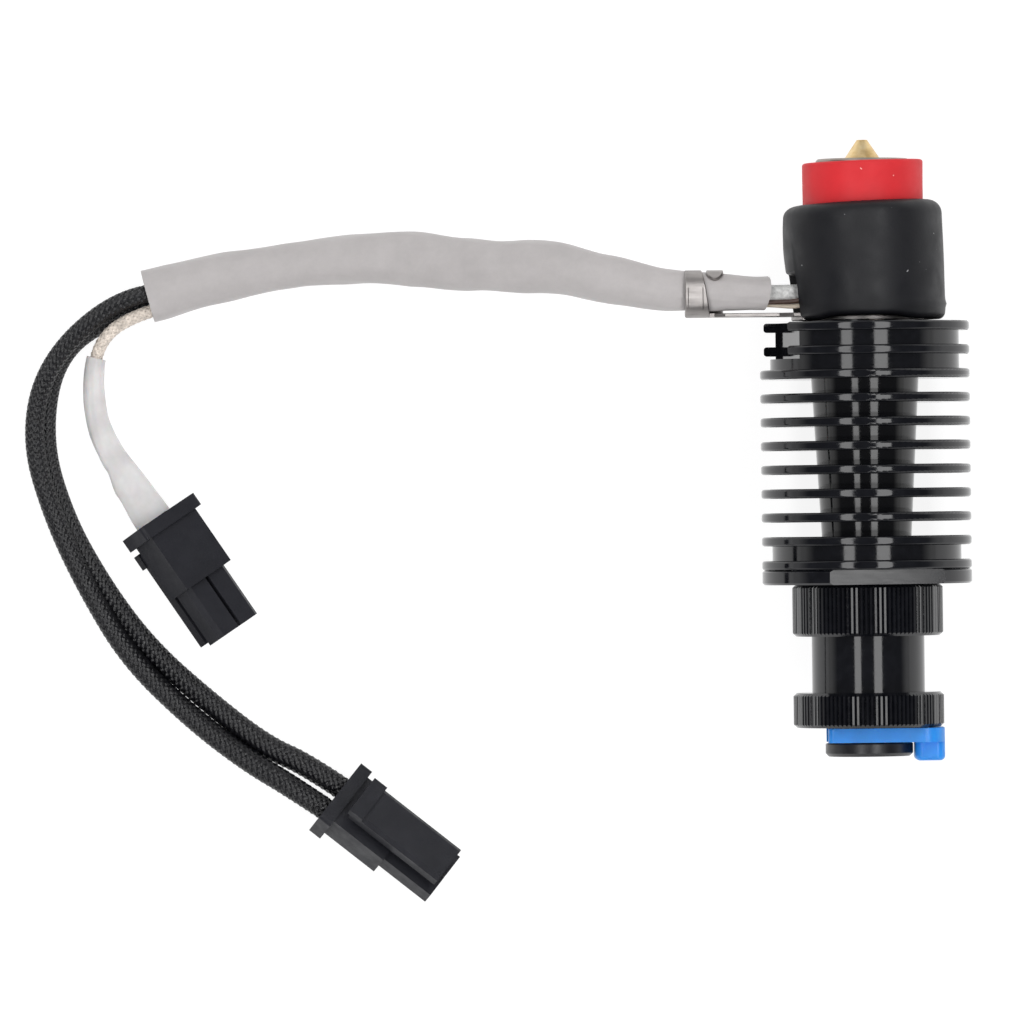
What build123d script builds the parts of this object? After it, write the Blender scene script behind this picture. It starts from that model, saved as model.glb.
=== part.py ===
from build123d import *
import math
import os

# Hot end for 1.75 mm filament, lying on its side with its wiring.
# Frame: millimetres. The filament axis is Y, the nozzle points to +Y, and the
# origin is the centre of the groove neck. +Z is up and the fins rest on a table.

# ---------------------------------------------------------------- driving sizes
ROLL = math.radians(12)          # the wires leave this far above level
FIN_RADIUS = 11.15
FIN_THICKNESS = 1.0
FIN_PITCH = 2.53
FIN_COUNT = 11
FIN_RIM = 0.3
LAST_FIN_Y = 35.87               # centre of the fin nearest the nozzle
BODY_RADIUS = 10.05              # solid stretches between the end fins
FACE_Y = 36.37                   # nozzle end of the heatsink
LAND_Y = 36.55                   # raised land that carries the bracket
FOOT_Y = 10.085                  # groove end of the heatsink

NECK_RADIUS = 6.0                # groove neck: 12 mm across, 6 mm long
NECK_HALF = 3.0
COLLAR_RADIUS = 8.0
COLLAR_B_END = -6.7
FLANGE_Y = 8.5
FLANGE_TOP_Y = 10.05              # just clear of the last fin
WRENCH_FLAT = 9.2
RIDGES = 100
RIDGE_DEPTH = 0.2
SPIGOT_RADIUS = 4.0
SPIGOT_TOP_Y = 13.3

BORE = 2.15                      # tube passage through the cold side
COLLET_BORE = 2.05               # takes a 4 mm guide tube
CORE_RADIUS = 3.9
CORE_FLANGE = 5.9
HEATER_RADIUS = 5.4
SCREW_CIRCLE = 5.0
POST_CIRCLE = 4.6
POST_RADIUS = 0.7
POST_FOOT_Y = 33.4
POST_LENGTH = 6.0
SHEET = 0.45

SLEEVE_OUTER = 2.35
SLEEVE_INNER = 2.05
LEAD_RADIUS = 0.8
SENSOR_LEAD_RADIUS = 0.6
LABEL_OUTER = 1.2
LABEL_INNER = 0.72
FIBRE_RADIUS = 0.95
WIRE_RADIUS = 0.25
RUN_SHARE = 0.45                 # part of a run that a bend takes up

os.makedirs("parts", exist_ok=True)

SIDE = (-math.cos(ROLL), 0, math.sin(ROLL))       # u: the way the wires leave
FRONT = (math.sin(ROLL), 0, math.cos(ROLL))       # w: square to u and the axis
WIRE_PLANE = Plane(origin=(0, 0, 0), x_dir=FRONT, z_dir=SIDE)


def across(y):
    """A plane square to the filament axis, looking along it."""
    return Plane(origin=(0, y, 0), x_dir=(1, 0, 0), z_dir=(0, 1, 0))


def rolled(y):
    """The same plane turned with the wiring: its x is -u and its y is -w."""
    return Plane(origin=(0, y, 0), x_dir=(math.cos(ROLL), 0, -math.sin(ROLL)), z_dir=(0, 1, 0))


def turned(points, mode=Mode.ADD):
    """Turn an outline of (radius, y) points about the filament axis."""
    with BuildSketch(Plane.XY) as outline:
        with BuildLine():
            Polyline(*points, close=True)
        make_face()
    revolve(outline.sketch, axis=Axis.Y, mode=mode)


def ring(outer, inner, y0, y1, mode=Mode.ADD):
    """A plain ring, or a disc when inner is 0."""
    turned([(inner, y0), (outer, y0), (outer, y1), (inner, y1)], mode)


def bored(radius, circle, start_angle, count, y, depth):
    """Round holes on a circle, sunk from height y towards -Y."""
    with BuildSketch(rolled(y)) as holes:
        with PolarLocations(circle, count, start_angle):
            Circle(radius)
    extrude(holes.sketch, amount=-depth, mode=Mode.SUBTRACT)


def place(u, w, y):
    """A point given along the wires (u), towards the front (w) and up the axis."""
    return (u * SIDE[0] + w * FRONT[0], y, u * SIDE[2] + w * FRONT[2])


# ---------------------------------------------------------------- cold side
def fin(y):
    """One cooling disc with a rounded rim."""
    with BuildSketch(Plane.XY) as section:
        with Locations((FIN_RADIUS / 2, y)):
            Rectangle(FIN_RADIUS, FIN_THICKNESS)
        fillet(section.vertices().group_by(Axis.X)[-1], FIN_RIM)
    revolve(section.sketch, axis=Axis.Y)


FIN_CENTRES = [LAST_FIN_Y - FIN_PITCH * i for i in range(FIN_COUNT)]
BREAK_SEAT_Y = 22.0
BREAK_RADIUS = 3.5
SLIP = 0.02                      # running room of a turned fit
NOTCH_U = 8.0
NOTCH_HALF = 5.5
NOTCH_DEPTH = 3.91

with BuildPart() as heatsink:
    turned([(0, FOOT_Y), (BODY_RADIUS, FOOT_Y), (BODY_RADIUS, FIN_CENTRES[9]),
            (4.75, FIN_CENTRES[9]), (5.75, FIN_CENTRES[2]), (BODY_RADIUS, FIN_CENTRES[2]),
            (BODY_RADIUS, FACE_Y), (5.6, FACE_Y), (5.6, LAND_Y), (0, LAND_Y)])
    for centre in FIN_CENTRES:
        fin(centre)
    ring(BORE, 0, FOOT_Y - 1, BREAK_SEAT_Y, Mode.SUBTRACT)
    ring(BREAK_RADIUS + SLIP, 0, BREAK_SEAT_Y, LAND_Y + 1, Mode.SUBTRACT)
    ring(SPIGOT_RADIUS + SLIP, 0, FOOT_Y - 1, SPIGOT_TOP_Y + 0.05, Mode.SUBTRACT)
    bored(POST_RADIUS, POST_CIRCLE, 90, 3, LAND_Y, LAND_Y - POST_FOOT_Y)
    bored(1.0, SCREW_CIRCLE, 30, 3, LAND_Y, 3.0)
    with BuildSketch(rolled(FACE_Y + 0.01)):
        with Locations((-NOTCH_U - 2, 0)):
            Rectangle(4, 2 * NOTCH_HALF)
    extrude(amount=-NOTCH_DEPTH, mode=Mode.SUBTRACT)
heatsink.part.label = "heatsink"
export_step(heatsink.part, "parts/heatsink.step")


RIDGE = [(0.0, COLLAR_RADIUS), (0.45, COLLAR_RADIUS), (0.72, COLLAR_RADIUS - RIDGE_DEPTH)]


def knurl(y0, y1):
    """A collar with straight ridges along the axis and softened ends."""
    step = 2 * math.pi / RIDGES
    points = []
    for i in range(RIDGES):
        for share, radius in RIDGE:
            angle = step * (i + share)
            points.append((radius * math.cos(angle), radius * math.sin(angle)))
    with BuildSketch(across(y0)) as outline:
        with BuildLine():
            Polyline(*points, close=True)
        make_face()
    extrude(outline.sketch, amount=y1 - y0)
    soft = 0.35
    for end, inward in ((y0, 1), (y1, -1)):
        turned([(COLLAR_RADIUS - soft, end), (COLLAR_RADIUS + soft, end),
                (COLLAR_RADIUS + soft, end + 2 * soft * inward)], Mode.SUBTRACT)


with BuildPart() as groove_adapter:
    knurl(NECK_HALF, FLANGE_Y)
    knurl(COLLAR_B_END, -NECK_HALF)
    turned([(0, COLLAR_B_END), (7, COLLAR_B_END), (7, -NECK_HALF), (NECK_RADIUS, -NECK_HALF),
            (NECK_RADIUS, NECK_HALF), (7, NECK_HALF), (7, FLANGE_Y), (FIN_RADIUS - 0.2, FLANGE_Y),
            (FIN_RADIUS, FLANGE_Y + 0.2), (FIN_RADIUS, FLANGE_TOP_Y - 0.2),
            (FIN_RADIUS - 0.2, FLANGE_TOP_Y), (SPIGOT_RADIUS, FLANGE_TOP_Y),
            (SPIGOT_RADIUS, SPIGOT_TOP_Y), (0, SPIGOT_TOP_Y)])
    ring(BORE, 0, COLLAR_B_END - 1, SPIGOT_TOP_Y + 1, Mode.SUBTRACT)
    ring(4.0, 0, COLLAR_B_END - 1, -1.0, Mode.SUBTRACT)
    with BuildSketch(rolled(FLANGE_Y - 0.01)):
        with Locations((0, WRENCH_FLAT + 2), (0, -WRENCH_FLAT - 2)):
            Rectangle(24, 4)
    extrude(amount=FLANGE_TOP_Y - FLANGE_Y + 0.02, mode=Mode.SUBTRACT)
groove_adapter.part.label = "groove_adapter"
export_step(groove_adapter.part, "parts/groove_adapter.step")

with BuildPart() as coupler_ring:
    turned([(3.2, COLLAR_B_END), (4.0, COLLAR_B_END), (4.0, -1.0), (3.5, -1.0), (3.5, -2.6),
            (3.05, -4.2), (3.05, COLLAR_B_END + 0.2)])
coupler_ring.part.label = "coupler_ring"
export_step(coupler_ring.part, "parts/coupler_ring.step")

# The collet: a flange to press on, a neck, and four sprung fingers with steel teeth.
COLLET_FLANGE = 4.65
COLLET_END_Y = -9.8
COLLET_NECK = 2.95
FINGER_END_Y = -1.5
TOOTH_Y0, TOOTH_Y1 = -3.05, -2.75
TOOTH_OUTER = 2.62
SLOT_START_Y, SLOT_LENGTH = -5.0, 4.0


def finger_slots(width):
    """Cross cuts that part the collet's end into four fingers."""
    with BuildSketch(across(SLOT_START_Y)) as cross:
        Rectangle(2 * COLLET_FLANGE, width)
        Rectangle(width, 2 * COLLET_FLANGE)
    extrude(cross.sketch, amount=SLOT_LENGTH, mode=Mode.SUBTRACT)


with BuildPart() as collet:
    turned([(COLLET_BORE, COLLET_END_Y + 0.3), (COLLET_BORE + 0.4, COLLET_END_Y),
            (COLLET_FLANGE - 0.35, COLLET_END_Y), (COLLET_FLANGE, COLLET_END_Y + 0.35),
            (COLLET_FLANGE, -8.5), (COLLET_FLANGE - 0.1, -8.4), (COLLET_NECK, -8.4),
            (COLLET_NECK, -3.7), (3.3, -2.6), (3.3, -1.9), (2.95, FINGER_END_Y),
            (COLLET_BORE, FINGER_END_Y)])
    ring(TOOTH_OUTER, 1.5, TOOTH_Y0, TOOTH_Y1, Mode.SUBTRACT)
    finger_slots(0.7)
collet.part.label = "collet"
export_step(collet.part, "parts/collet.step")

with BuildPart() as collet_teeth:
    ring(TOOTH_OUTER, 2.01, TOOTH_Y0, TOOTH_Y1)
    finger_slots(1.2)
collet_teeth.part.label = "collet_teeth"
export_step(collet_teeth.part, "parts/collet_teeth.step")

# The clip: a horseshoe plate that slides under the collet's flange, with a thumb tab.
CLIP_LEFT, CLIP_RIGHT, CLIP_HALF = -4.44, 7.97, 4.5
CLIP_Y0, CLIP_Y1 = -8.3, -6.8
CLIP_SLOT = 3.0
TAB_LEFT, TAB_HALF, TAB_END_Y = 4.79, 3.0, -10.3
TAB_CORNER = 0.9
TAB_EDGE = 0.5

with BuildPart() as collet_clip:
    with BuildSketch(across(CLIP_Y0)) as plate:
        with Locations(((CLIP_LEFT + CLIP_RIGHT) / 2, 0)):
            Rectangle(CLIP_RIGHT - CLIP_LEFT, 2 * CLIP_HALF)
        fillet(plate.vertices().group_by(Axis.X)[-1], 2.2)
        fillet(plate.vertices().group_by(Axis.X)[0], 0.6)
        Circle(CLIP_SLOT, mode=Mode.SUBTRACT)
        with Locations((-5, 0)):
            Rectangle(10, 2 * CLIP_SLOT, mode=Mode.SUBTRACT)
    extrude(amount=CLIP_Y1 - CLIP_Y0)
    with BuildSketch(across(CLIP_Y0)):
        with Locations(((TAB_LEFT + CLIP_RIGHT) / 2, 0)):
            RectangleRounded(CLIP_RIGHT - TAB_LEFT, 2 * TAB_HALF, TAB_CORNER)
    extrude(amount=TAB_END_Y - CLIP_Y0)
    fillet(collet_clip.faces().sort_by(Axis.Y)[0].edges(), TAB_EDGE)
collet_clip.part.label = "collet_clip"
export_step(collet_clip.part, "parts/collet_clip.step")

# ---------------------------------------------------------------- hot side
BLOCK_Y = 37.9
NOZZLE_SEAT_Y = 43.3
CORE_TOP_Y = 50.85
HEX_Y = 50.9
HEX_TOP_Y = 53.7
TIP_Y = 55.72
CONE_BASE, CONE_TIP = 1.92, 0.55
NOZZLE_HOLE = 0.2                # a 0.4 mm nozzle

with BuildPart() as heat_break:
    turned([(1, BREAK_SEAT_Y), (BREAK_RADIUS - 0.3, BREAK_SEAT_Y), (BREAK_RADIUS, BREAK_SEAT_Y + 0.3),
            (BREAK_RADIUS, 36), (1.5, 36), (1.5, BLOCK_Y), (3, BLOCK_Y), (3, NOZZLE_SEAT_Y), (1, NOZZLE_SEAT_Y)])
heat_break.part.label = "heat_break"
export_step(heat_break.part, "parts/heat_break.step")

with BuildPart() as nozzle:
    ring(3.0, 0, NOZZLE_SEAT_Y, HEX_Y)
    with BuildSketch(rolled(HEX_Y)):
        RegularPolygon(radius=3.5, side_count=6, major_radius=False)
    extrude(amount=HEX_TOP_Y - HEX_Y)
    turned([(3.55, HEX_TOP_Y), (4.2, HEX_TOP_Y), (4.2, HEX_TOP_Y - 0.4)], Mode.SUBTRACT)
    turned([(0, HEX_TOP_Y), (CONE_BASE, HEX_TOP_Y), (CONE_TIP, TIP_Y), (0, TIP_Y)])
    ring(1.0, 0, NOZZLE_SEAT_Y - 1, 52.7, Mode.SUBTRACT)
    ring(NOZZLE_HOLE, 0, 52, TIP_Y + 1, Mode.SUBTRACT)
nozzle.part.label = "nozzle"
export_step(nozzle.part, "parts/nozzle.step")

SENSOR_W = 4.25                  # the sensor's hole runs beside the core
SENSOR_Y = 39.3
SENSOR_HOLE = 0.7
FLANGE_BLOCK_Y = 41.0
HEATER_TOP_Y = 49.0

with BuildPart() as melt_block:
    turned([(0, BLOCK_Y), (CORE_FLANGE, BLOCK_Y), (CORE_FLANGE, FLANGE_BLOCK_Y),
            (CORE_RADIUS, FLANGE_BLOCK_Y), (CORE_RADIUS, CORE_TOP_Y), (0, CORE_TOP_Y)])
    ring(3.02, 0, BLOCK_Y - 1, CORE_TOP_Y + 1, Mode.SUBTRACT)
    bored(POST_RADIUS, POST_CIRCLE, 90, 3, POST_FOOT_Y + POST_LENGTH, 2.0)
    with BuildSketch(WIRE_PLANE.offset(4.6)):
        with Locations((0, 39.45)):
            Rectangle(3.2, 3.4)
    extrude(amount=3, mode=Mode.SUBTRACT)
    with BuildSketch(WIRE_PLANE.offset(-1)):
        with Locations((SENSOR_W, SENSOR_Y)):
            Circle(SENSOR_HOLE)
    extrude(amount=8, mode=Mode.SUBTRACT)
melt_block.part.label = "melt_block"
export_step(melt_block.part, "parts/melt_block.step")

with BuildPart() as ceramic_heater:
    ring(HEATER_RADIUS, CORE_RADIUS + 0.05, FLANGE_BLOCK_Y, HEATER_TOP_Y)
ceramic_heater.part.label = "ceramic_heater"
export_step(ceramic_heater.part, "parts/ceramic_heater.step")

with BuildPart() as front_cap:
    turned([(CORE_RADIUS + 0.02, 49.05), (5.5, 49.05), (5.5, 52.6), (4.95, 52.6), (4.95, 53.5),
            (4.75, HEX_TOP_Y), (4.15, HEX_TOP_Y), (4.15, CORE_TOP_Y), (CORE_RADIUS + 0.02, CORE_TOP_Y)])
front_cap.part.label = "front_cap"
export_step(front_cap.part, "parts/front_cap.step")

BEAD_U0, BEAD_U1 = 0.4, 3.4
BEAD_RADIUS = 0.65

with BuildPart() as thermistor_bead:
    with BuildSketch(WIRE_PLANE.offset(BEAD_U0)):
        with Locations((SENSOR_W, SENSOR_Y)):
            Circle(BEAD_RADIUS)
    extrude(amount=BEAD_U1 - BEAD_U0)
    fillet(thermistor_bead.edges().sort_by(Axis.X)[-1], 0.4)
thermistor_bead.part.label = "thermistor_bead"
export_step(thermistor_bead.part, "parts/thermistor_bead.step")

with BuildPart() as support_posts:
    with BuildSketch(rolled(POST_FOOT_Y)):
        with PolarLocations(POST_CIRCLE, 3, 90):
            Circle(POST_RADIUS)
    extrude(amount=POST_LENGTH)
support_posts.part.label = "support_posts"
export_step(support_posts.part, "parts/support_posts.step")

# Silicone covers, slipped over the front cap and the heater.
SOCK_OUTER = 6.45
BOOT_OUTER = 8.35
BOOT_INNER = 6.75

with BuildPart() as nozzle_sock:
    turned([(5.55, 46.3), (SOCK_OUTER, 46.3), (SOCK_OUTER, 53.0), (SOCK_OUTER - 0.45, 53.45),
            (5.05, 53.45), (5.05, 52.65), (5.55, 52.65)])
nozzle_sock.part.label = "nozzle_sock"
export_step(nozzle_sock.part, "parts/nozzle_sock.step")

BOOT_TOP_Y = 49.0
BOOT_SLOT_TOP_Y = 42.2
BOOT_SLOT_HALF = 2.9

with BuildPart() as heater_boot:
    with BuildSketch(Plane.XY):
        with BuildLine():
            Polyline((BOOT_INNER, 37.0), (BOOT_OUTER - 0.7, 37.0))
            RadiusArc((BOOT_OUTER - 0.7, 37.0), (BOOT_OUTER, 37.7), -0.7)
            Line((BOOT_OUTER, 37.7), (BOOT_OUTER, BOOT_TOP_Y - 1.4))
            RadiusArc((BOOT_OUTER, BOOT_TOP_Y - 1.4), (BOOT_OUTER - 1.4, BOOT_TOP_Y), -1.4)
            Polyline((BOOT_OUTER - 1.4, BOOT_TOP_Y), (6.65, BOOT_TOP_Y), (6.65, 48.0),
                     (BOOT_INNER, 48.0), (BOOT_INNER, 37.0))
        make_face()
    revolve(axis=Axis.Y)
    with BuildSketch(WIRE_PLANE.offset(5)) as slot:
        with Locations((0, (BOOT_SLOT_TOP_Y + 36) / 2)):
            Rectangle(2 * BOOT_SLOT_HALF, BOOT_SLOT_TOP_Y - 36)
        fillet(slot.vertices().group_by(Axis.Y)[-1], 1.5)
    extrude(amount=5, mode=Mode.SUBTRACT)
heater_boot.part.label = "heater_boot"
export_step(heater_boot.part, "parts/heater_boot.step")

# ---------------------------------------------------------------- strain relief
BRACKET_TOP_Y = LAND_Y + SHEET
ARM_Y = 37.05
ARM_HALF = 2.5
ARM_START, ARM_END = 7.35, 20.05
LOOP_INNER_HALF = 2.6
LOOP_TOP_Y = 42.5                # inside of the crimp loops
LOOP_CORNER = 1.4
BAND_U = 17.5
HOOK_U0, HOOK_U1 = 15.9, 17.3
HOOK_TIP_Y = 40.9
OPEN_Y = 38.6


def crimp_loop(u0, u1, open_side, open_from, open_to):
    """A rounded loop of sheet on the arm, open on one side over a stretch of Y."""
    middle = (ARM_Y + LOOP_TOP_Y + SHEET) / 2
    height = LOOP_TOP_Y + SHEET - ARM_Y
    with BuildSketch(WIRE_PLANE.offset(u0)) as loop:
        with Locations((0, middle)):
            RectangleRounded(2 * (LOOP_INNER_HALF + SHEET), height, LOOP_CORNER + SHEET)
            RectangleRounded(2 * LOOP_INNER_HALF, height - 2 * SHEET, LOOP_CORNER, mode=Mode.SUBTRACT)
        with Locations((open_side * (LOOP_INNER_HALF + SHEET / 2), (open_from + open_to) / 2)):
            Rectangle(2.2, open_to - open_from, mode=Mode.SUBTRACT)
    extrude(loop.sketch, amount=u1 - u0)


with BuildPart() as strain_relief_bracket:
    with BuildSketch(rolled(LAND_Y)) as base:
        Circle(6.4)
        with Locations((-6.4, 0)):
            Rectangle(2.8, 2 * ARM_HALF)
        Circle(2.5, mode=Mode.SUBTRACT)
        with PolarLocations(POST_CIRCLE, 3, 90):
            Circle(0.75, mode=Mode.SUBTRACT)
        with PolarLocations(SCREW_CIRCLE, 3, 30):
            Circle(1.05, mode=Mode.SUBTRACT)
    extrude(amount=SHEET)
    with BuildSketch(WIRE_PLANE.offset(ARM_START)):
        with Locations((0, (LAND_Y + ARM_Y + SHEET) / 2)):
            Rectangle(2 * ARM_HALF, ARM_Y + SHEET - LAND_Y)
    extrude(amount=SHEET)
    with BuildSketch(WIRE_PLANE.offset(ARM_START)):
        with Locations((0, ARM_Y + SHEET / 2)):
            Rectangle(2 * ARM_HALF, SHEET)
    extrude(amount=ARM_END - ARM_START)
    crimp_loop(BAND_U, ARM_END, -1, OPEN_Y, 41.2)
    crimp_loop(HOOK_U0, HOOK_U1, 1, OPEN_Y, HOOK_TIP_Y)
    # The wide loop narrows towards its top.
    lean = Plane(origin=(0, 0, 0), x_dir=SIDE, z_dir=(-FRONT[0], -FRONT[1], -FRONT[2]))
    with BuildSketch(lean) as wedge:
        with BuildLine():
            Polyline((BAND_U - 0.01, -38.2), (BAND_U + 0.55, -42.2), (BAND_U + 0.55, -43.5),
                     (BAND_U - 0.01, -43.5), close=True)
        make_face()
    extrude(amount=4, both=True, mode=Mode.SUBTRACT)
    # A raised panel on the loop's front.
    with BuildSketch(WIRE_PLANE.offset(BAND_U + 0.55)):
        with Locations((LOOP_INNER_HALF + SHEET + 0.06, 39.9)):
            Rectangle(0.12, 2.2)
    extrude(amount=1.75)
strain_relief_bracket.part.label = "strain_relief_bracket"
export_step(strain_relief_bracket.part, "parts/strain_relief_bracket.step")

with BuildPart() as bracket_screws:
    with BuildSketch(rolled(LAND_Y - 2.8)):
        with PolarLocations(SCREW_CIRCLE, 3, 30):
            Circle(0.98)
    extrude(amount=BRACKET_TOP_Y - LAND_Y + 2.8)
    with BuildSketch(rolled(BRACKET_TOP_Y)):
        with PolarLocations(SCREW_CIRCLE, 3, 30):
            Circle(1.3)
    extrude(amount=0.75)
    with BuildSketch(rolled(BRACKET_TOP_Y + 0.75)):
        with PolarLocations(SCREW_CIRCLE, 3, 30):
            RegularPolygon(radius=0.6, side_count=6)
    extrude(amount=-0.45, mode=Mode.SUBTRACT)
bracket_screws.part.label = "bracket_screws"
export_step(bracket_screws.part, "parts/bracket_screws.step")

# ---------------------------------------------------------------- wiring
# Each route is a list of points chosen by hand; bends between runs are as wide
# as the two runs allow. Lengths, volumes and bend radii are printed for a check.


def bend_radii(points):
    """The widest arc at each corner that leaves a little of both runs straight."""
    radii = []
    for before, corner, after in zip(points, points[1:], points[2:]):
        arriving = Vector(*corner) - Vector(*before)
        leaving = Vector(*after) - Vector(*corner)
        half_turn = math.radians(arriving.get_angle(leaving)) / 2
        radii.append(RUN_SHARE * min(arriving.length, leaving.length) / math.tan(half_turn))
    return radii


def cord(name, points, outer, inner=0.0, radii=None):
    """A tube along straight runs joined by tangent arcs."""
    bends = radii or bend_radii(points)
    with BuildPart() as tube:
        with BuildLine() as route:
            FilletPolyline(*points, radius=bends)
        with BuildSketch(Plane(origin=route.line @ 0, z_dir=route.line % 0)) as section:
            Circle(outer)
            if inner > 0:
                Circle(inner, mode=Mode.SUBTRACT)
        sweep(section.sketch, path=route.line)
    tube.part.label = name
    export_step(tube.part, f"parts/{name}.step")
    length = sum(edge.length for edge in route.edges())
    share = tube.part.volume / (math.pi * (outer ** 2 - inner ** 2) * length)
    print(f"{name}: length {length:.2f}, volume {share:.4f} of section x length, bends",
          [round(bend, 1) for bend in bends])


SLEEVE_ROUTE = [(-10.1, 39.92, 2.15), (-18.2, 39.82, 4.15), (-26.4, 41.2, 3.0), (-34.2, 42.6, 0.4),
                (-42.4, 43.1, -3.2), (-50.8, 43.8, -6.3), (-60.0, 43.2, -8.2), (-68.6, 41.7, -8.65),
                (-76.4, 40.1, -8.65)]
SPLICE_RUN = 3                   # the leads start at this corner of the sleeve
LEADS_FROM = SLEEVE_ROUTE[SPLICE_RUN:-1]


def beside(points, dy, dz):
    """The same points moved a little sideways."""
    return [(x, y + dy, z + dz) for x, y, z in points]


LEAD_A_ROUTE = beside(LEADS_FROM, 0.8, 0.66) + [
    (-78.0, 40.6, -7.99), (-83.2, 38.0, -8.4), (-88.4, 30.7, -8.8), (-88.3, 22.0, -8.9), (-86.5, 14.1, -8.9),
    (-82.9, 6.5, -8.9), (-77.7, 0.2, -8.8), (-70.9, -5.3, -8.1), (-61.6, -11.66, -6.54), (-54.97, -16.98, -6.54)]
LEAD_B_ROUTE = beside(LEADS_FROM, -0.35, -0.66) + [
    (-78.0, 39.45, -9.31), (-82.4, 37.0, -9.9), (-87.1, 30.3, -10.25), (-87.0, 22.2, -10.3), (-85.3, 14.5, -10.3),
    (-81.9, 7.1, -10.3), (-76.7, 1.2, -10.2), (-70.1, -4.1, -9.5), (-59.88, -9.52, -7.76), (-53.25, -14.84, -7.76)]
SENSOR_ROUTE = beside(LEADS_FROM[:-1], -1.12, 0.68) + beside(LEADS_FROM[-1:], -1.25, 0.5) + [
    (-77.6, 38.6, -8.15), (-81.3, 35.6, -8.5), (-82.2, 30.2, -8.6), (-81.1, 24.6, -7.6), (-78.01, 20.31, -5.05),
    (-75.51, 16.57, -5.05)]
LABEL_START = (-81.65, 33.3, -8.54)

cord("gray_sleeve", SLEEVE_ROUTE, SLEEVE_OUTER, SLEEVE_INNER)
cord("heater_lead_a", LEAD_A_ROUTE, LEAD_RADIUS)
cord("heater_lead_b", LEAD_B_ROUTE, LEAD_RADIUS)
cord("thermistor_lead", SENSOR_ROUTE, SENSOR_LEAD_RADIUS)
cord("label_sleeve", [LABEL_START] + SENSOR_ROUTE[-4:], LABEL_OUTER, LABEL_INNER,
     bend_radii(SENSOR_ROUTE)[-3:])

# Inside the gray sleeve, crimp barrels join the leads to the hot-side wires.
SPLICE_LENGTH = 4.0
SPLICE_GAP = 0.1
SPLICE_END = Vector(*SLEEVE_ROUTE[SPLICE_RUN])
SPLICE_WAY = (SPLICE_END - Vector(*SLEEVE_ROUTE[SPLICE_RUN - 1])).normalized()
SPLICE_START = SPLICE_END - SPLICE_WAY * (SPLICE_LENGTH + SPLICE_GAP)
SPLICES = [(0.8, 0.66, 0.8), (-0.35, -0.66, 0.8), (-1.12, 0.68, 0.6)]

with BuildPart() as wire_splices:
    for dy, dz, radius in SPLICES:
        with BuildSketch(Plane(origin=SPLICE_START + Vector(0, dy, dz), z_dir=SPLICE_WAY)):
            Circle(radius)
        extrude(amount=SPLICE_LENGTH)
wire_splices.part.label = "wire_splices"
export_step(wire_splices.part, "parts/wire_splices.step")

FEED_END = SPLICE_START - SPLICE_WAY * 0.6


def feed_end(dy, dz):
    """Where a hot-side wire meets its splice."""
    return (FEED_END.X, FEED_END.Y + dy, FEED_END.Z + dz)


def sleeve_corner(dy, dz):
    """A point beside the sleeve's third corner."""
    return beside(SLEEVE_ROUTE[2:3], dy, dz)[0]


cord("heater_fibre_sleeve",
     [place(4.75, 0, 40.0), place(10.2, 0, 39.7), place(18.5, 0, 39.95), sleeve_corner(0, 0), feed_end(0, 0)],
     FIBRE_RADIUS)
cord("thermistor_wire_dark",
     [place(3.4, 4.25, 39.6), place(4.75, 4.05, 39.5), place(5.9, 2.5, 39.3), place(7.6, 1.9, 38.6),
      place(10.6, 0.9, 38.5), place(14.2, 0.75, 38.45), place(18.5, 0.9, 38.6), sleeve_corner(-1.25, 0.8),
      feed_end(-1.15, 0.95)], WIRE_RADIUS)
cord("thermistor_wire_light",
     [place(3.4, 4.25, 39.0), place(4.75, 4.05, 38.9), place(5.9, 2.3, 38.6), place(7.6, 1.2, 38.0),
      place(10.6, -0.1, 38.3), place(14.2, -0.2, 38.25), place(18.5, -0.1, 38.4), sleeve_corner(-1.45, 0.0),
      feed_end(-1.25, 0.3)], WIRE_RADIUS)

# ---------------------------------------------------------------- plugs
# A plug is drawn with x across, y towards its latch and z from its wires (0) to its mouth.
PLUG_LENGTH = 14.3
PLUG_STEP = 8.0
HALF_PITCH = 1.5
PIVOT_Y = 2.85
SENSOR_ROLL = math.radians(30)
HEATER_ROLL = math.radians(24)


def plug_place(origin, heading, roll, latch_up):
    """The plane of a plug lying on the table, rolled about its own length."""
    along = Vector(*heading, 0).normalized()
    level = Vector(-along.Y, along.X, 0)
    across_plug = level * math.cos(roll) - Vector(0, 0, 1) * math.sin(roll)
    if not latch_up:
        across_plug = across_plug * -1
    return Plane(origin=origin, x_dir=across_plug, z_dir=along)


def block(width, y0, y1, z0, z1, mode=Mode.ADD, centre=0.0):
    """A block centred across the plug."""
    with BuildSketch(Plane.XY.offset(z0)) as face:
        with Locations((centre, (y0 + y1) / 2)):
            Rectangle(width, y1 - y0)
    extrude(face.sketch, amount=z1 - z0, mode=mode)


def barrel(radius, width, mode=Mode.ADD):
    """A round bar across the plug at the latch's pivot."""
    with BuildSketch(Plane.YZ.offset(-width / 2)) as disc:
        with Locations((PIVOT_Y, PLUG_STEP)):
            Circle(radius)
    extrude(disc.sketch, amount=width, mode=mode)


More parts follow.
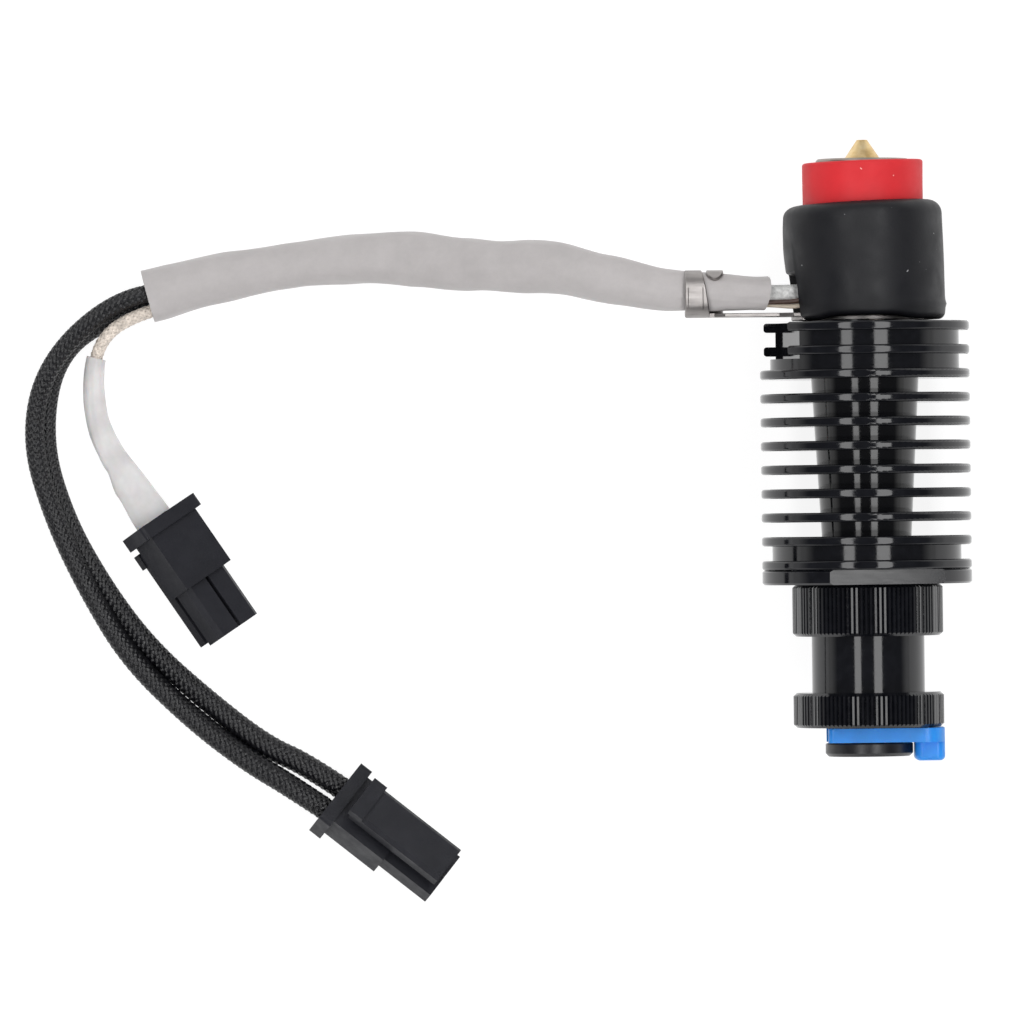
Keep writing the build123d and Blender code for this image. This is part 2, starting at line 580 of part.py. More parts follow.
def plug_housing():
    """Two-way housing: rear flange, body, two square towers and the latch's web."""
    with BuildPart() as housing:
        block(8.0, -2.6, 2.6, -0.2, 1.3)
        fillet(housing.edges().filter_by(Axis.Z), 0.5)
        block(6.4, -2.1, 2.1, 1.3, PLUG_STEP)
        for side in (-HALF_PITCH, HALF_PITCH):
            with BuildSketch(Plane.XY.offset(PLUG_STEP)) as tower:
                with Locations((side, 0.05)):
                    Rectangle(2.6, 2.9)
                outer = tower.vertices().group_by(Axis.Y)[0].sort_by(Axis.X)
                chamfer(outer[-1] if side > 0 else outer[0], 0.5)
            extrude(amount=PLUG_LENGTH - PLUG_STEP)
        block(3.5, 1.4, 2.6, PLUG_STEP - 0.6, PLUG_STEP + 0.6)
        barrel(0.55, 3.6, Mode.SUBTRACT)
        for side in (-HALF_PITCH, HALF_PITCH):
            block(1.9, -0.9, 1.0, 1.3, PLUG_LENGTH + 1, Mode.SUBTRACT, side)
        with BuildSketch(Plane.XY.offset(-0.3)):
            with Locations((-HALF_PITCH, 0), (HALF_PITCH, 0)):
                Circle(0.9)
        extrude(amount=1.7, mode=Mode.SUBTRACT)
    return housing.part


def plug_latch():
    """A rocking lever, hollow underneath, with a tail to press and a hook in front."""
    with BuildPart() as latch:
        block(4.5, 3.1, 4.9, 2.2, 13.9)
        chamfer(latch.edges().filter_by(Axis.Z).group_by(Axis.Y)[-1], 0.4)
        block(3.5, 3.0, 4.1, 2.1, 14.0, Mode.SUBTRACT)
        block(4.7, 4.2, 5.3, 1.9, 3.6)
        block(3.5, PIVOT_Y, 4.2, PLUG_STEP - 0.4, PLUG_STEP + 0.4)
        block(2.4, 2.4, 4.2, 13.1, 13.9)
        barrel(0.5, 3.5)
    return latch.part


def contacts(tail_start, tail_radius):
    """Two crimp contacts: a wire tail, a crimp and a square socket."""
    with BuildPart() as pair:
        for side in (-HALF_PITCH, HALF_PITCH):
            with BuildSketch(Plane.XY.offset(tail_start)):
                with Locations((side, 0)):
                    Circle(tail_radius)
            extrude(amount=5.0 - tail_start)
            block(1.5, -0.75, 0.75, 5.0, 12.0, centre=side)
            block(1.0, -0.5, 0.5, 7.0, 12.5, Mode.SUBTRACT, side)
    return pair.part


SENSOR_PLUG = plug_place((-75.4, 16.4, -5.05), (0.556, -0.831), SENSOR_ROLL, False)
HEATER_PLUG = plug_place((-56.84, -13.72, -7.15), (0.78, -0.625), HEATER_ROLL, True)
PLUG_PIECES = [("thermistor_housing", plug_housing(), SENSOR_PLUG), ("heater_housing", plug_housing(), HEATER_PLUG),
               ("thermistor_latch", plug_latch(), SENSOR_PLUG), ("heater_latch", plug_latch(), HEATER_PLUG),
               ("thermistor_terminals", contacts(-0.2, 0.5), SENSOR_PLUG),
               ("heater_terminals", contacts(3.5, 0.7), HEATER_PLUG)]

for piece_name, piece, plane in PLUG_PIECES:
    placed = piece.moved(plane.location)
    placed.label = piece_name
    export_step(placed, f"parts/{piece_name}.step")
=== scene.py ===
import bpy
import math
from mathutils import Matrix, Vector, noise


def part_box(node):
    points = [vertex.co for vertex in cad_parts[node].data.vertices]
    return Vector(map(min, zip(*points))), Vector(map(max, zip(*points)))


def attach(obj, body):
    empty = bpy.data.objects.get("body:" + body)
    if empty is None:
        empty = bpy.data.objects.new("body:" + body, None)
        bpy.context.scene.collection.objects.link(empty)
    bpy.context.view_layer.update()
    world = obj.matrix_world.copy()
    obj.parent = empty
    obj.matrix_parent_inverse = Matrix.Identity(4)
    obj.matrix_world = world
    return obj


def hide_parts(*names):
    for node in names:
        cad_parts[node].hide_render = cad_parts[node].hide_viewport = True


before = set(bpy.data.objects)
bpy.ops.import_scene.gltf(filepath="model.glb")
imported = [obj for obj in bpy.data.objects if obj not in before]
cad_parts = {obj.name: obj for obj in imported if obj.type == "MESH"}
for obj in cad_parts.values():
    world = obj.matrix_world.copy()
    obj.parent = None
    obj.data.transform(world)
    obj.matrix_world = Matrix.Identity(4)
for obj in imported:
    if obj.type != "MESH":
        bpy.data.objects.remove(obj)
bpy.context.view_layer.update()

MM = 0.001
MICRON = 0.000001
ROLL = math.radians(12)                       # the wires leave this far above level
SIDE = Vector((-math.cos(ROLL), 0, math.sin(ROLL)))
FRONT = Vector((math.sin(ROLL), 0, math.cos(ROLL)))
TABLE_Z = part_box("heatsink")[0].z             # the fins rest on the table
SCENE = bpy.context.scene


# ---------------------------------------------------------------- camera, table and light
CAMERA_AT = (-0.03769, 0.01662, 1.21)         # straight above the middle of the picture, in metres
CAMERA_TURN = math.radians(-0.716)            # the object stands this little bit askew in the picture
LENS, SENSOR = 400, 36                        # millimetres

# Strips: name, sideways place, width and power. Both stand at one height and run along the object.
STRIPS = [("strip_left", -0.255, 0.150, 3.3), ("strip_right", 0.1975, 0.180, 4.1)]
STRIP_Y, STRIP_Z, STRIP_LENGTH = 0.02, 0.6, 1.7

HORIZON, CEILING = (0.86, 0.86, 0.86, 1), (0.14, 0.14, 0.15, 1)
HORIZON_END, CEILING_START = 0.12, 0.36       # heights of the direction between which the sky darkens
TABLE_GRAY, TABLE_GLOW = 0.22, 0.88           # a table that glows stays white under the object too
TABLE_HALF = 4                                # metres
TABLE_GAP = 0.02 * MM


def camera():
    """A long lens straight above, at the photograph's framing."""
    data = bpy.data.cameras.new("camera")
    data.lens, data.sensor_width = LENS, SENSOR
    data.clip_end = 20
    eye = bpy.data.objects.new("camera", data)
    eye.location = CAMERA_AT
    eye.rotation_euler = (0, 0, CAMERA_TURN)
    SCENE.collection.objects.link(eye)
    SCENE.camera = eye


def strip(name, x, width, power):
    """A long light along Y that leans towards the middle and isn't seen itself."""
    data = bpy.data.lights.new(name, "AREA")
    data.shape, data.size, data.size_y, data.energy = "RECTANGLE", width, STRIP_LENGTH, power
    lamp = bpy.data.objects.new(name, data)
    lamp.location = (x, STRIP_Y, STRIP_Z)
    lamp.rotation_euler = (0, math.atan2(x, STRIP_Z), 0)
    lamp.visible_camera = False
    SCENE.collection.objects.link(lamp)


def sky():
    """White near the horizon and dim overhead, by the height of the direction."""
    world = bpy.data.worlds.new("studio")
    world.use_nodes = True
    nodes, links = world.node_tree.nodes, world.node_tree.links
    where = nodes.new("ShaderNodeTexCoord")
    split = nodes.new("ShaderNodeSeparateXYZ")
    ramp = nodes.new("ShaderNodeValToRGB")
    low, high = ramp.color_ramp.elements
    low.position, low.color = HORIZON_END, HORIZON
    high.position, high.color = CEILING_START, CEILING
    links.new(where.outputs["Generated"], split.inputs[0])
    links.new(split.outputs["Z"], ramp.inputs["Fac"])
    links.new(ramp.outputs["Color"], nodes["Background"].inputs["Color"])
    SCENE.world = world


def white_table():
    """The white table that the fins rest on."""
    half = TABLE_HALF
    mesh = bpy.data.meshes.new("table")
    mesh.from_pydata([(-half, -half, 0), (half, -half, 0), (half, half, 0), (-half, half, 0)], [],
                     [(0, 1, 2, 3)])
    table = bpy.data.objects.new("table", mesh)
    table.location.z = TABLE_Z - TABLE_GAP
    SCENE.collection.objects.link(table)
    paper = bpy.data.materials.new("table_white")
    paper.use_nodes = True
    shader = paper.node_tree.nodes["Principled BSDF"]
    shader.inputs["Base Color"].default_value = (TABLE_GRAY, TABLE_GRAY, TABLE_GRAY, 1)
    shader.inputs["Roughness"].default_value = 0.9
    shader.inputs["Emission Color"].default_value = (1, 1, 1, 1)
    shader.inputs["Emission Strength"].default_value = TABLE_GLOW
    mesh.materials.append(paper)


SCENE.view_settings.view_transform = "Standard"
camera()
sky()
for strip_look in STRIPS:
    strip(*strip_look)
white_table()


# ---------------------------------------------------------------- materials
class Finish:
    """A procedural material: colour that varies, roughness that varies, and layers of bump."""

    def __init__(self, name, colour, rough, metal=0.0, **sockets):
        self.material = bpy.data.materials.new(name)
        self.material.use_nodes = True
        self.nodes = self.material.node_tree.nodes
        self.links = self.material.node_tree.links
        self.shader = self.nodes["Principled BSDF"]
        self.shader.inputs["Base Color"].default_value = (*colour, 1)
        self.shader.inputs["Roughness"].default_value = rough
        self.shader.inputs["Metallic"].default_value = metal
        for socket, value in sockets.items():
            self.shader.inputs[socket.replace("_", " ")].default_value = value
        self.where = self.nodes.new("ShaderNodeTexCoord").outputs["Object"]
        self.normal = None

    def noise(self, scale, detail=3.0, stretch=(1, 1, 1), rough=0.5):
        """Noise with cells about 1/scale metres across."""
        mapping = self.nodes.new("ShaderNodeMapping")
        mapping.inputs["Scale"].default_value = stretch
        self.links.new(self.where, mapping.inputs["Vector"])
        texture = self.nodes.new("ShaderNodeTexNoise")
        texture.inputs["Scale"].default_value = scale
        texture.inputs["Detail"].default_value = detail
        texture.inputs["Roughness"].default_value = rough
        self.links.new(mapping.outputs[0], texture.inputs["Vector"])
        return texture.outputs["Fac"]

    def ramp(self, value, *stops):
        """A colour ramp from (position, colour) stops."""
        node = self.nodes.new("ShaderNodeValToRGB")
        elements = node.color_ramp.elements
        while len(elements) < len(stops):
            elements.new(0.5)
        for element, (position, colour) in zip(elements, stops):
            element.position = position
            element.color = (*colour, 1)
        self.links.new(value, node.inputs["Fac"])
        return node.outputs["Color"]

    def mottle(self, value, *stops):
        """Colours the surface by a noise."""
        self.links.new(self.ramp(value, *stops), self.shader.inputs["Base Color"])
        return self

    def sheen_of(self, value, low, high):
        """Lets the roughness run from low to high with a noise."""
        node = self.nodes.new("ShaderNodeMapRange")
        node.inputs["From Min"].default_value = 0.3
        node.inputs["From Max"].default_value = 0.7
        node.inputs["To Min"].default_value = low
        node.inputs["To Max"].default_value = high
        self.links.new(value, node.inputs["Value"])
        self.links.new(node.outputs["Result"], self.shader.inputs["Roughness"])
        return self

    def bump(self, value, depth, strength=1.0):
        """Adds a layer of bump of a depth in metres."""
        node = self.nodes.new("ShaderNodeBump")
        node.inputs["Distance"].default_value = depth
        node.inputs["Strength"].default_value = strength
        self.links.new(value, node.inputs["Height"])
        if self.normal is not None:
            self.links.new(self.normal, node.inputs["Normal"])
        self.normal = node.outputs["Normal"]
        self.links.new(self.normal, self.shader.inputs["Normal"])
        return self


def shades(colour, spread):
    """A colour a little darker and a little lighter."""
    return tuple(c * (1 - spread) for c in colour), tuple(min(1, c * (1 + spread)) for c in colour)


def anodised():
    """Glossy black anodising over a turned surface."""
    finish = Finish("black_anodised", (0.006, 0.0065, 0.009), 0.12, Specular_IOR_Level=0.5)
    low, high = (0.0028, 0.0032, 0.0048), (0.0065, 0.007, 0.0095)
    finish.mottle(finish.noise(900, 4), (0.35, low), (0.75, high))
    finish.sheen_of(finish.noise(500, 4, (1, 6, 1)), 0.05, 0.13)
    finish.bump(finish.noise(60, 2, (1, 60, 1)), 3 * MICRON)
    finish.bump(finish.noise(9000, 2), 0.8 * MICRON)
    return finish.material


def brass():
    """Turned brass with a warm, slightly tarnished face."""
    finish = Finish("brass", (0.78, 0.58, 0.30), 0.36, 1.0)
    tarnished, plain, bright = (0.56, 0.38, 0.16), (0.80, 0.60, 0.31), (0.92, 0.78, 0.50)
    finish.mottle(finish.noise(700, 5), (0.3, tarnished), (0.55, plain), (0.8, bright))
    finish.sheen_of(finish.noise(1500, 3, (1, 5, 1)), 0.3, 0.5)
    finish.bump(finish.noise(80, 3, (1, 60, 1)), 20 * MICRON)
    return finish.material


def metal(name, colour, low, high, grain=(1, 1, 30)):
    """Brushed or plated metal with handling marks."""
    finish = Finish(name, colour, low, 1.0)
    dark, light = shades(colour, 0.16)
    finish.mottle(finish.noise(450, 5), (0.3, dark), (0.7, light))
    finish.sheen_of(finish.noise(260, 5, grain), low, high)
    finish.bump(finish.noise(300, 4, grain), 8 * MICRON)
    return finish.material


def silicone(name, colour, low, high, dust):
    """Matte silicone with a faint bloom and specks of lint."""
    finish = Finish(name, colour, low, Specular_IOR_Level=0.35)
    dark, light = shades(colour, 0.10)
    bloom = finish.ramp(finish.noise(220, 4), (0.3, dark), (0.72, light))
    specks = finish.ramp(finish.noise(1500, 1), (0.795, (0, 0, 0)), (0.815, (1, 1, 1)))
    mix = finish.nodes.new("ShaderNodeMix")
    mix.data_type = "RGBA"
    mix.inputs["B"].default_value = (*dust, 1)
    finish.links.new(specks, mix.inputs["Factor"])
    finish.links.new(bloom, mix.inputs["A"])
    finish.links.new(mix.outputs["Result"], finish.shader.inputs["Base Color"])
    finish.sheen_of(finish.noise(420, 4), low, high)
    finish.bump(finish.noise(120, 3), 120 * MICRON, 0.6)
    finish.bump(finish.noise(7000, 2), 6 * MICRON)
    return finish.material


def plastic(name, colour, low, high, grain, **sockets):
    """Moulded plastic with a spark-eroded texture."""
    finish = Finish(name, colour, low, **sockets)
    dark, light = shades(colour, 0.12)
    finish.mottle(finish.noise(350, 4), (0.3, dark), (0.7, light))
    finish.sheen_of(finish.noise(800, 3), low, high)
    finish.bump(finish.noise(5200, 2), grain)
    finish.bump(finish.noise(150, 2), 30 * MICRON, 0.5)
    return finish.material


def woven(name, colour, spread, rough, scale, fuzz=0.25):
    """Fibre that varies in tone from yarn to yarn."""
    finish = Finish(name, colour, rough, Sheen_Weight=fuzz, Sheen_Roughness=0.5)
    dark, light = shades(colour, spread)
    finish.mottle(finish.noise(scale, 4, rough=0.7), (0.32, dark), (0.68, light))
    finish.sheen_of(finish.noise(scale * 2, 3), rough - 0.12, rough + 0.12)
    finish.bump(finish.noise(scale * 3, 3), 30 * MICRON)
    return finish.material


ANODISED = anodised()
BRASS = brass()
STEEL = metal("steel", (0.34, 0.30, 0.27), 0.34, 0.5)
NICKEL = metal("nickel_sheet", (0.315, 0.297, 0.288), 0.3, 0.5, (1, 14, 1))
COPPER = metal("plated_copper", (0.66, 0.60, 0.55), 0.25, 0.45)
TIN = metal("tin_plate", (0.68, 0.66, 0.62), 0.25, 0.4)
RED = silicone("red_silicone", (0.69, 0.022, 0.029), 0.5, 0.66, (0.95, 0.55, 0.5))
BLACK_RUBBER = silicone("black_silicone", (0.0045, 0.0048, 0.007), 0.42, 0.58, (0.35, 0.35, 0.36))
NYLON = plastic("black_nylon", (0.016, 0.0165, 0.021), 0.38, 0.54, 12 * MICRON, Specular_IOR_Level=0.2)
BLUE = plastic("blue_plastic", (0.022, 0.27, 0.80), 0.32, 0.44, 4 * MICRON, Subsurface_Weight=0.25,
               Subsurface_Scale=0.8 * MM)
ACETAL = plastic("black_acetal", (0.009, 0.009, 0.011), 0.28, 0.4, 5 * MICRON)
CERAMIC = plastic("heater_ceramic", (0.80, 0.77, 0.70), 0.6, 0.75, 10 * MICRON)
GLASS_BEAD = plastic("sensor_glass", (0.42, 0.25, 0.08), 0.15, 0.25, 2 * MICRON)
SHRINK = plastic("white_shrink", (0.69, 0.66, 0.655), 0.38, 0.52, 6 * MICRON, Subsurface_Weight=0.15,
                 Subsurface_Scale=0.6 * MM)
DARK_WIRE = plastic("dark_wire", (0.05, 0.022, 0.014), 0.3, 0.45, 3 * MICRON)
LIGHT_WIRE = plastic("light_wire", (0.72, 0.62, 0.50), 0.35, 0.5, 3 * MICRON)
SLEEVING = woven("gray_sleeving", (0.47, 0.446, 0.441), 0.06, 0.62, 420)
BLACK_YARN = woven("black_braid", (0.0035, 0.0035, 0.005), 0.5, 0.34, 1400, 0.0)
CREAM_YARN = woven("cream_braid", (0.72, 0.64, 0.56), 0.34, 0.55, 1600)
FIBRE = woven("mottled_fibre", (0.62, 0.62, 0.61), 0.35, 0.7, 1100)

# CAD node: (material, bevel in millimetres or 0)
CAD_LOOKS = {
    "heatsink": (ANODISED, 0), "groove_adapter": (ANODISED, 0), "coupler_ring": (BRASS, 0),
    "collet": (ACETAL, 0), "collet_teeth": (STEEL, 0), "collet_clip": (BLUE, 0.12),
    "heat_break": (STEEL, 0), "nozzle": (BRASS, 0.05), "melt_block": (COPPER, 0),
    "ceramic_heater": (CERAMIC, 0), "front_cap": (STEEL, 0), "thermistor_bead": (GLASS_BEAD, 0),
    "support_posts": (STEEL, 0), "bracket_screws": (STEEL, 0.06),
    "wire_splices": (TIN, 0),
    "thermistor_wire_dark": (DARK_WIRE, 0), "thermistor_wire_light": (LIGHT_WIRE, 0),
    "thermistor_housing": (NYLON, 0.10), "heater_housing": (NYLON, 0.10),
    "thermistor_latch": (NYLON, 0.10), "heater_latch": (NYLON, 0.10),
    "thermistor_terminals": (TIN, 0.04), "heater_terminals": (TIN, 0.04),
}


BEVEL_ABOVE = math.radians(40)                # only edges that turn more than this are rounded
SHARP_ABOVE = math.radians(38)                # and in the scene's own meshes these stay sharp


def dress(name, material, bevel):
    """Gives a CAD node its material and, where it has sharp edges, a small round."""
    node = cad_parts[name]
    node.data.materials.clear()
    node.data.materials.append(material)
    if bevel:
        modifier = node.modifiers.new("edges", "BEVEL")
        modifier.width, modifier.segments = bevel * MM, 2
        modifier.limit_method, modifier.angle_limit = "ANGLE", BEVEL_ABOVE
        modifier.harden_normals = False


for node_name, (look, round_mm) in CAD_LOOKS.items():
    dress(node_name, look, round_mm)


# ---------------------------------------------------------------- mesh helpers
def piece(name, verts, faces, material, body, slot, *replaced):
    """A finished mesh piece that rides on a body and stands for CAD nodes."""
    mesh = bpy.data.meshes.new(name)
    mesh.from_pydata([tuple(v) for v in verts], [], faces)
    mesh.polygons.foreach_set("use_smooth", [True] * len(mesh.polygons))
    mesh.materials.append(material)
    mesh.update()
    mesh.set_sharp_from_angle(angle=SHARP_ABOVE)
    thing = bpy.data.objects.new(name, mesh)
    SCENE.collection.objects.link(thing)
    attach(thing, body)
    if replaced:
        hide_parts(*replaced)
    return thing


def skin(rings, loop=False, caps=True):
    """Vertices and faces over closed rings of equal size, as a tube or (loop) a torus."""
    size = len(rings[0])
    verts = [v for ring in rings for v in ring]
    faces = []
    for i in range(len(rings) if loop else len(rings) - 1):
        a, b = i * size, (i + 1) % len(rings) * size
        for j in range(size):
            k = (j + 1) % size
            faces.append((a + j, a + k, b + k, b + j))
    if caps and not loop:
        faces.append(tuple(reversed(range(size))))
        faces.append(tuple(range(len(verts) - size, len(verts))))
    return verts, faces


def add(verts, faces, more):
    """Adds the (vertices, faces) of one more shape to a mesh in the making."""
    base = len(verts)
    verts += more[0]
    faces += [tuple(base + k for k in face) for face in more[1]]


def circle(sides):
    """Cosine and sine at evenly spaced turns."""
    return [(math.cos(2 * math.pi * k / sides), math.sin(2 * math.pi * k / sides)) for k in range(sides)]


def spline_line(points):
    """Points in metres along the smooth curve that the route's points, in millimetres, control."""
    data = bpy.data.curves.new("route", "CURVE")
    data.dimensions = "3D"
    spline = data.splines.new("NURBS")
    spline.points.add(len(points) - 1)
    for point, (x, y, z) in zip(spline.points, points):
        point.co = (x * MM, y * MM, z * MM, 1)
    spline.order_u = 3
    spline.use_endpoint_u = True
    spline.resolution_u = 24
    curve = bpy.data.objects.new("route", data)
    mesh = bpy.data.meshes.new_from_object(curve)
    line = [v.co.copy() for v in mesh.vertices]
    bpy.data.meshes.remove(mesh)
    bpy.data.objects.remove(curve)
    bpy.data.curves.remove(data)
    return line


class Path:
    """A line with its length, so that places along it can be asked for."""

    def __init__(self, line):
        self.line = line
        self.at = [0.0]
        for a, b in zip(line, line[1:]):
            self.at.append(self.at[-1] + (b - a).length)
        self.length = self.at[-1]

    def place(self, s):
        """Position, direction, sideways and upwards at a distance s along the line."""
        s = min(max(s, 0.0), self.length)
        i = next((k for k in range(1, len(self.at)) if self.at[k] >= s), len(self.at) - 1)
        span = max(self.at[i] - self.at[i - 1], 1e-9)
        share = (s - self.at[i - 1]) / span
        ways = [(self.line[min(k + 1, len(self.line) - 1)] - self.line[max(k - 1, 0)]).normalized()
                for k in (i - 1, i)]
        way = ways[0].lerp(ways[1], share).normalized()
        aside = Vector((0, 0, 1)).cross(way).normalized()
        return self.line[i - 1].lerp(self.line[i], share), way, aside, way.cross(aside)


def smooth(x):
    """0 below 0, 1 above 1, and eased between."""
    x = min(max(x, 0.0), 1.0)
    return x * x * (3 - 2 * x)


def between(value, table):
    """Eased values from a short list of (position, value)."""
    for (a, low), (b, high) in zip(table, table[1:]):
        if value <= b:
            return low + (high - low) * smooth((value - a) / (b - a))
    return table[-1][1]


# ---------------------------------------------------------------- routes, near those of part.py
# Millimetres, with the leads' points moved a little to where the photograph shows them.
SLEEVE_ROUTE = [(-10.1, 39.92, 2.15), (-18.2, 39.82, 4.15), (-26.4, 41.2, 3.0), (-34.2, 42.6, 0.4),
                (-42.4, 43.1, -3.2), (-50.8, 43.8, -6.3), (-60.0, 43.2, -8.2), (-68.6, 41.7, -8.65),
                (-76.4, 40.1, -8.65)]
LEADS_FROM = SLEEVE_ROUTE[3:-1]


def beside(points, dy, dz):
    """The same points moved a little sideways."""
    return [(x, y + dy, z + dz) for x, y, z in points]


LEAD_A_ROUTE = beside(LEADS_FROM, 0.8, 0.66) + [
    (-73.4, 41.1, -8.0), (-80.5, 39.6, -8.1), (-87.4, 33.1, -8.3), (-89.2, 25.0, -8.5),
    (-86.7, 16.4, -8.8), (-83.0, 8.5, -9.2), (-78.7, 1.3, -9.5), (-72.2, -5.1, -9.2),
    (-66.2, -9.7, -8.3), (-61.5, -12.5, -6.9), (-54.97, -16.98, -6.54)]
LEAD_B_ROUTE = beside(LEADS_FROM, -0.35, -0.66) + [
    (-73.0, 39.6, -9.4), (-80.0, 38.4, -9.9), (-86.4, 34.1, -10.0), (-88.0, 25.0, -10.05),
    (-85.7, 16.6, -10.05), (-81.8, 9.35, -10.05), (-76.9, 2.5, -10.05), (-70.3, -3.5, -9.8),
    (-64.4, -8.2, -9.0), (-59.6, -10.3, -7.9), (-53.25, -14.84, -7.76)]
SENSOR_ROUTE = beside(LEADS_FROM[:-1], -1.12, 0.68) + beside(LEADS_FROM[-1:], -1.25, 0.5) + [
    (-77.5, 38.4, -8.15), (-81.7, 35.7, -8.5), (-82.6, 30.2, -8.6), (-81.6, 24.6, -7.6),
    (-78.4, 20.2, -5.05), (-75.7, 16.45, -5.05)]


# ---------------------------------------------------------------- braided leads
CORE_SIDES, YARN_SIDES = 12, 6
STEPS_PER_CROSSING = 3


def braid(name, route, girth, strands, pitch, yarn, material, slot, node):
    """A core with two families of yarn, (width, thickness), that pass over and under each other."""
    path = Path(spline_line(route))
    wide, thick = yarn
    count = int(path.length / (pitch / strands / STEPS_PER_CROSSING))
    stations = [path.place(path.length * i / count) for i in range(count + 1)]
    radii = [between(i / count, girth) * MM for i in range(count + 1)]
    core = [[p + (aside * c + up * d) * (radius - 1.1 * thick) for c, d in circle(CORE_SIDES)]
            for radius, (p, way, aside, up) in zip(radii, stations)]
    verts, faces = skin(core)
    for family in (-1, 1):
        for strand in range(strands):
            rings = []
            for i, (p, way, aside, up) in enumerate(stations):
                s, radius = path.length * i / count, radii[i]
                turn = family * 2 * math.pi * s / pitch + 2 * math.pi * strand / strands
                lift = family * 0.45 * thick * math.cos(2 * math.pi * strands * s / pitch)
                out = aside * math.cos(turn) + up * math.sin(turn)
                round_way = up * math.cos(turn) - aside * math.sin(turn)
                lean = math.atan2(2 * math.pi * radius, pitch) * family
                across = round_way * math.cos(lean) - way * math.sin(lean)
                centre = p + out * (radius - 0.5 * thick + lift)
                rings.append([centre + across * (0.5 * wide * c) + out * (0.5 * thick * d)
                              for c, d in circle(YARN_SIDES)])
            add(verts, faces, skin(rings))
    return piece(name, verts, faces, material, "main", slot, node), path


# Yarns are (width, thickness). A girth is a list of (share of the lead, radius in millimetres).
HEATER_YARN = (0.44 * MM, 0.18 * MM)
SENSOR_YARN = (0.34 * MM, 0.14 * MM)
HEATER_PITCH, SENSOR_PITCH = 6.4 * MM, 4.6 * MM
HEATER_STRANDS, SENSOR_STRANDS, FIBRE_STRANDS = 9, 7, 9
HEATER_GIRTH = [(0.0, 0.8), (0.25, 0.88), (0.45, 0.99), (0.68, 1.1), (0.78, 1.15), (0.9, 1.22),
                (0.966, 1.2), (0.978, 0.96), (1.0, 0.85)]
SENSOR_GIRTH = [(0.0, 0.6), (0.5, 0.72), (0.75, 0.66), (1.0, 0.62)]


def heater_lead(node, route):
    """One of the two black leads."""
    return braid(node + "_braid", route, HEATER_GIRTH, HEATER_STRANDS, HEATER_PITCH, HEATER_YARN, BLACK_YARN,
                 "black_braid", node)


lead_a, path_a = heater_lead("heater_lead_a", LEAD_A_ROUTE)
lead_b, path_b = heater_lead("heater_lead_b", LEAD_B_ROUTE)
sensor_lead, sensor_path = braid("thermistor_lead_braid", SENSOR_ROUTE, SENSOR_GIRTH, SENSOR_STRANDS,
                                 SENSOR_PITCH, SENSOR_YARN, CREAM_YARN, "cream_braid", "thermistor_lead")


# ---------------------------------------------------------------- soft sleeves
TUBE_STEPS, TUBE_SIDES = 200, 60
SHEAR_WITHIN = 3 * MM                         # the slanted cut of an end dies out over this length


def crease(s, c, d):
    """How far a sleeve's surface stands out, in wrinkle depths, at a length s and a turn (c, d)."""
    fine = noise.noise(Vector((s * 260, 2.2 * c, 2.2 * d)))
    broad = noise.noise(Vector((s * 90, 1.1 * c + 9, 1.1 * d)))
    ridge = 1 - abs(noise.noise(Vector((s * 150 + 4 * c, 0.7 * d, 3.0)))) * 3
    return fine + broad * 1.8 + max(ridge, 0) * 0.9


def soft_tube(name, path, start, edges, half_height, wall, slants, material, slot, node, wrinkle):
    """An open-ended flattened sleeve with a real wall, from start to the end of its path.

    edges are its widths to either side of the path and slants shear its two ends.
    """
    end = path.length
    outside, inside = [], []
    for i in range(TUBE_STEPS + 1):
        share = i / TUBE_STEPS
        s = start + (end - start) * share
        p, way, aside, up = path.place(s)
        above, below = (between(share, edge) * MM for edge in edges)
        middle, wide = (below - above) / 2, (below + above) / 2
        high = half_height(share, wide)
        shear = slants[0] * (1 - smooth((s - start) / SHEAR_WITHIN))
        shear += slants[1] * (1 - smooth((end - s) / SHEAR_WITHIN))
        for layer, depth in ((outside, 0), (inside, wall)):
            ring = []
            for c, d in circle(TUBE_SIDES):
                point = aside * (wide * c) + up * (high * d)
                point += point.normalized() * (crease(s, c, d) * wrinkle - depth)
                ring.append(p + aside * middle + point + way * (shear * c))
            layer.append(ring)
    verts, faces = skin(outside + inside[::-1], loop=True)
    return piece(name, verts, faces, material, "main", slot, node)


# Half widths above and below the path, in millimetres, from the bracket (0) to the leads (1).
sleeve_path = Path(spline_line(SLEEVE_ROUTE))
SLEEVE_ABOVE = [(0.0, 1.35), (0.1, 1.72), (0.16, 1.84), (0.25, 2.38), (0.35, 2.98), (0.43, 2.6), (0.49, 2.74),
                (0.57, 3.18), (0.66, 2.88), (0.77, 2.68), (0.90, 3.06), (1.0, 2.9)]
SLEEVE_BELOW = [(0.0, 2.15), (0.1, 2.28), (0.16, 2.6), (0.25, 2.66), (0.33, 2.46), (0.39, 2.76), (0.44, 2.7),
                (0.49, 2.86), (0.56, 2.7), (0.66, 2.28), (0.78, 2.04), (0.9, 2.3), (1.0, 2.7)]
SLEEVE_START = 0.4 * MM
SLEEVE_WALL, SLEEVE_WRINKLE = 0.3 * MM, 0.06 * MM
SLEEVE_SLANTS = (0.27 * MM, -0.15 * MM)
SLEEVE_GIRTH = 12.7                           # half width squared plus half height squared


def sleeve_half_height(share, wide):
    """The sleeve keeps its girth, so it is taller where it is narrow."""
    room = math.sqrt(max(SLEEVE_GIRTH - (wide / MM) ** 2, 1.0))
    return MM * min(room, between(share, [(0.0, 2.2), (0.2, 2.3), (0.4, 2.6)]))


sleeve = soft_tube("gray_sleeve_skin", sleeve_path, SLEEVE_START, (SLEEVE_ABOVE, SLEEVE_BELOW),
                   sleeve_half_height, SLEEVE_WALL, SLEEVE_SLANTS, SLEEVING, "gray_sleeving",
                   "gray_sleeve", SLEEVE_WRINKLE)

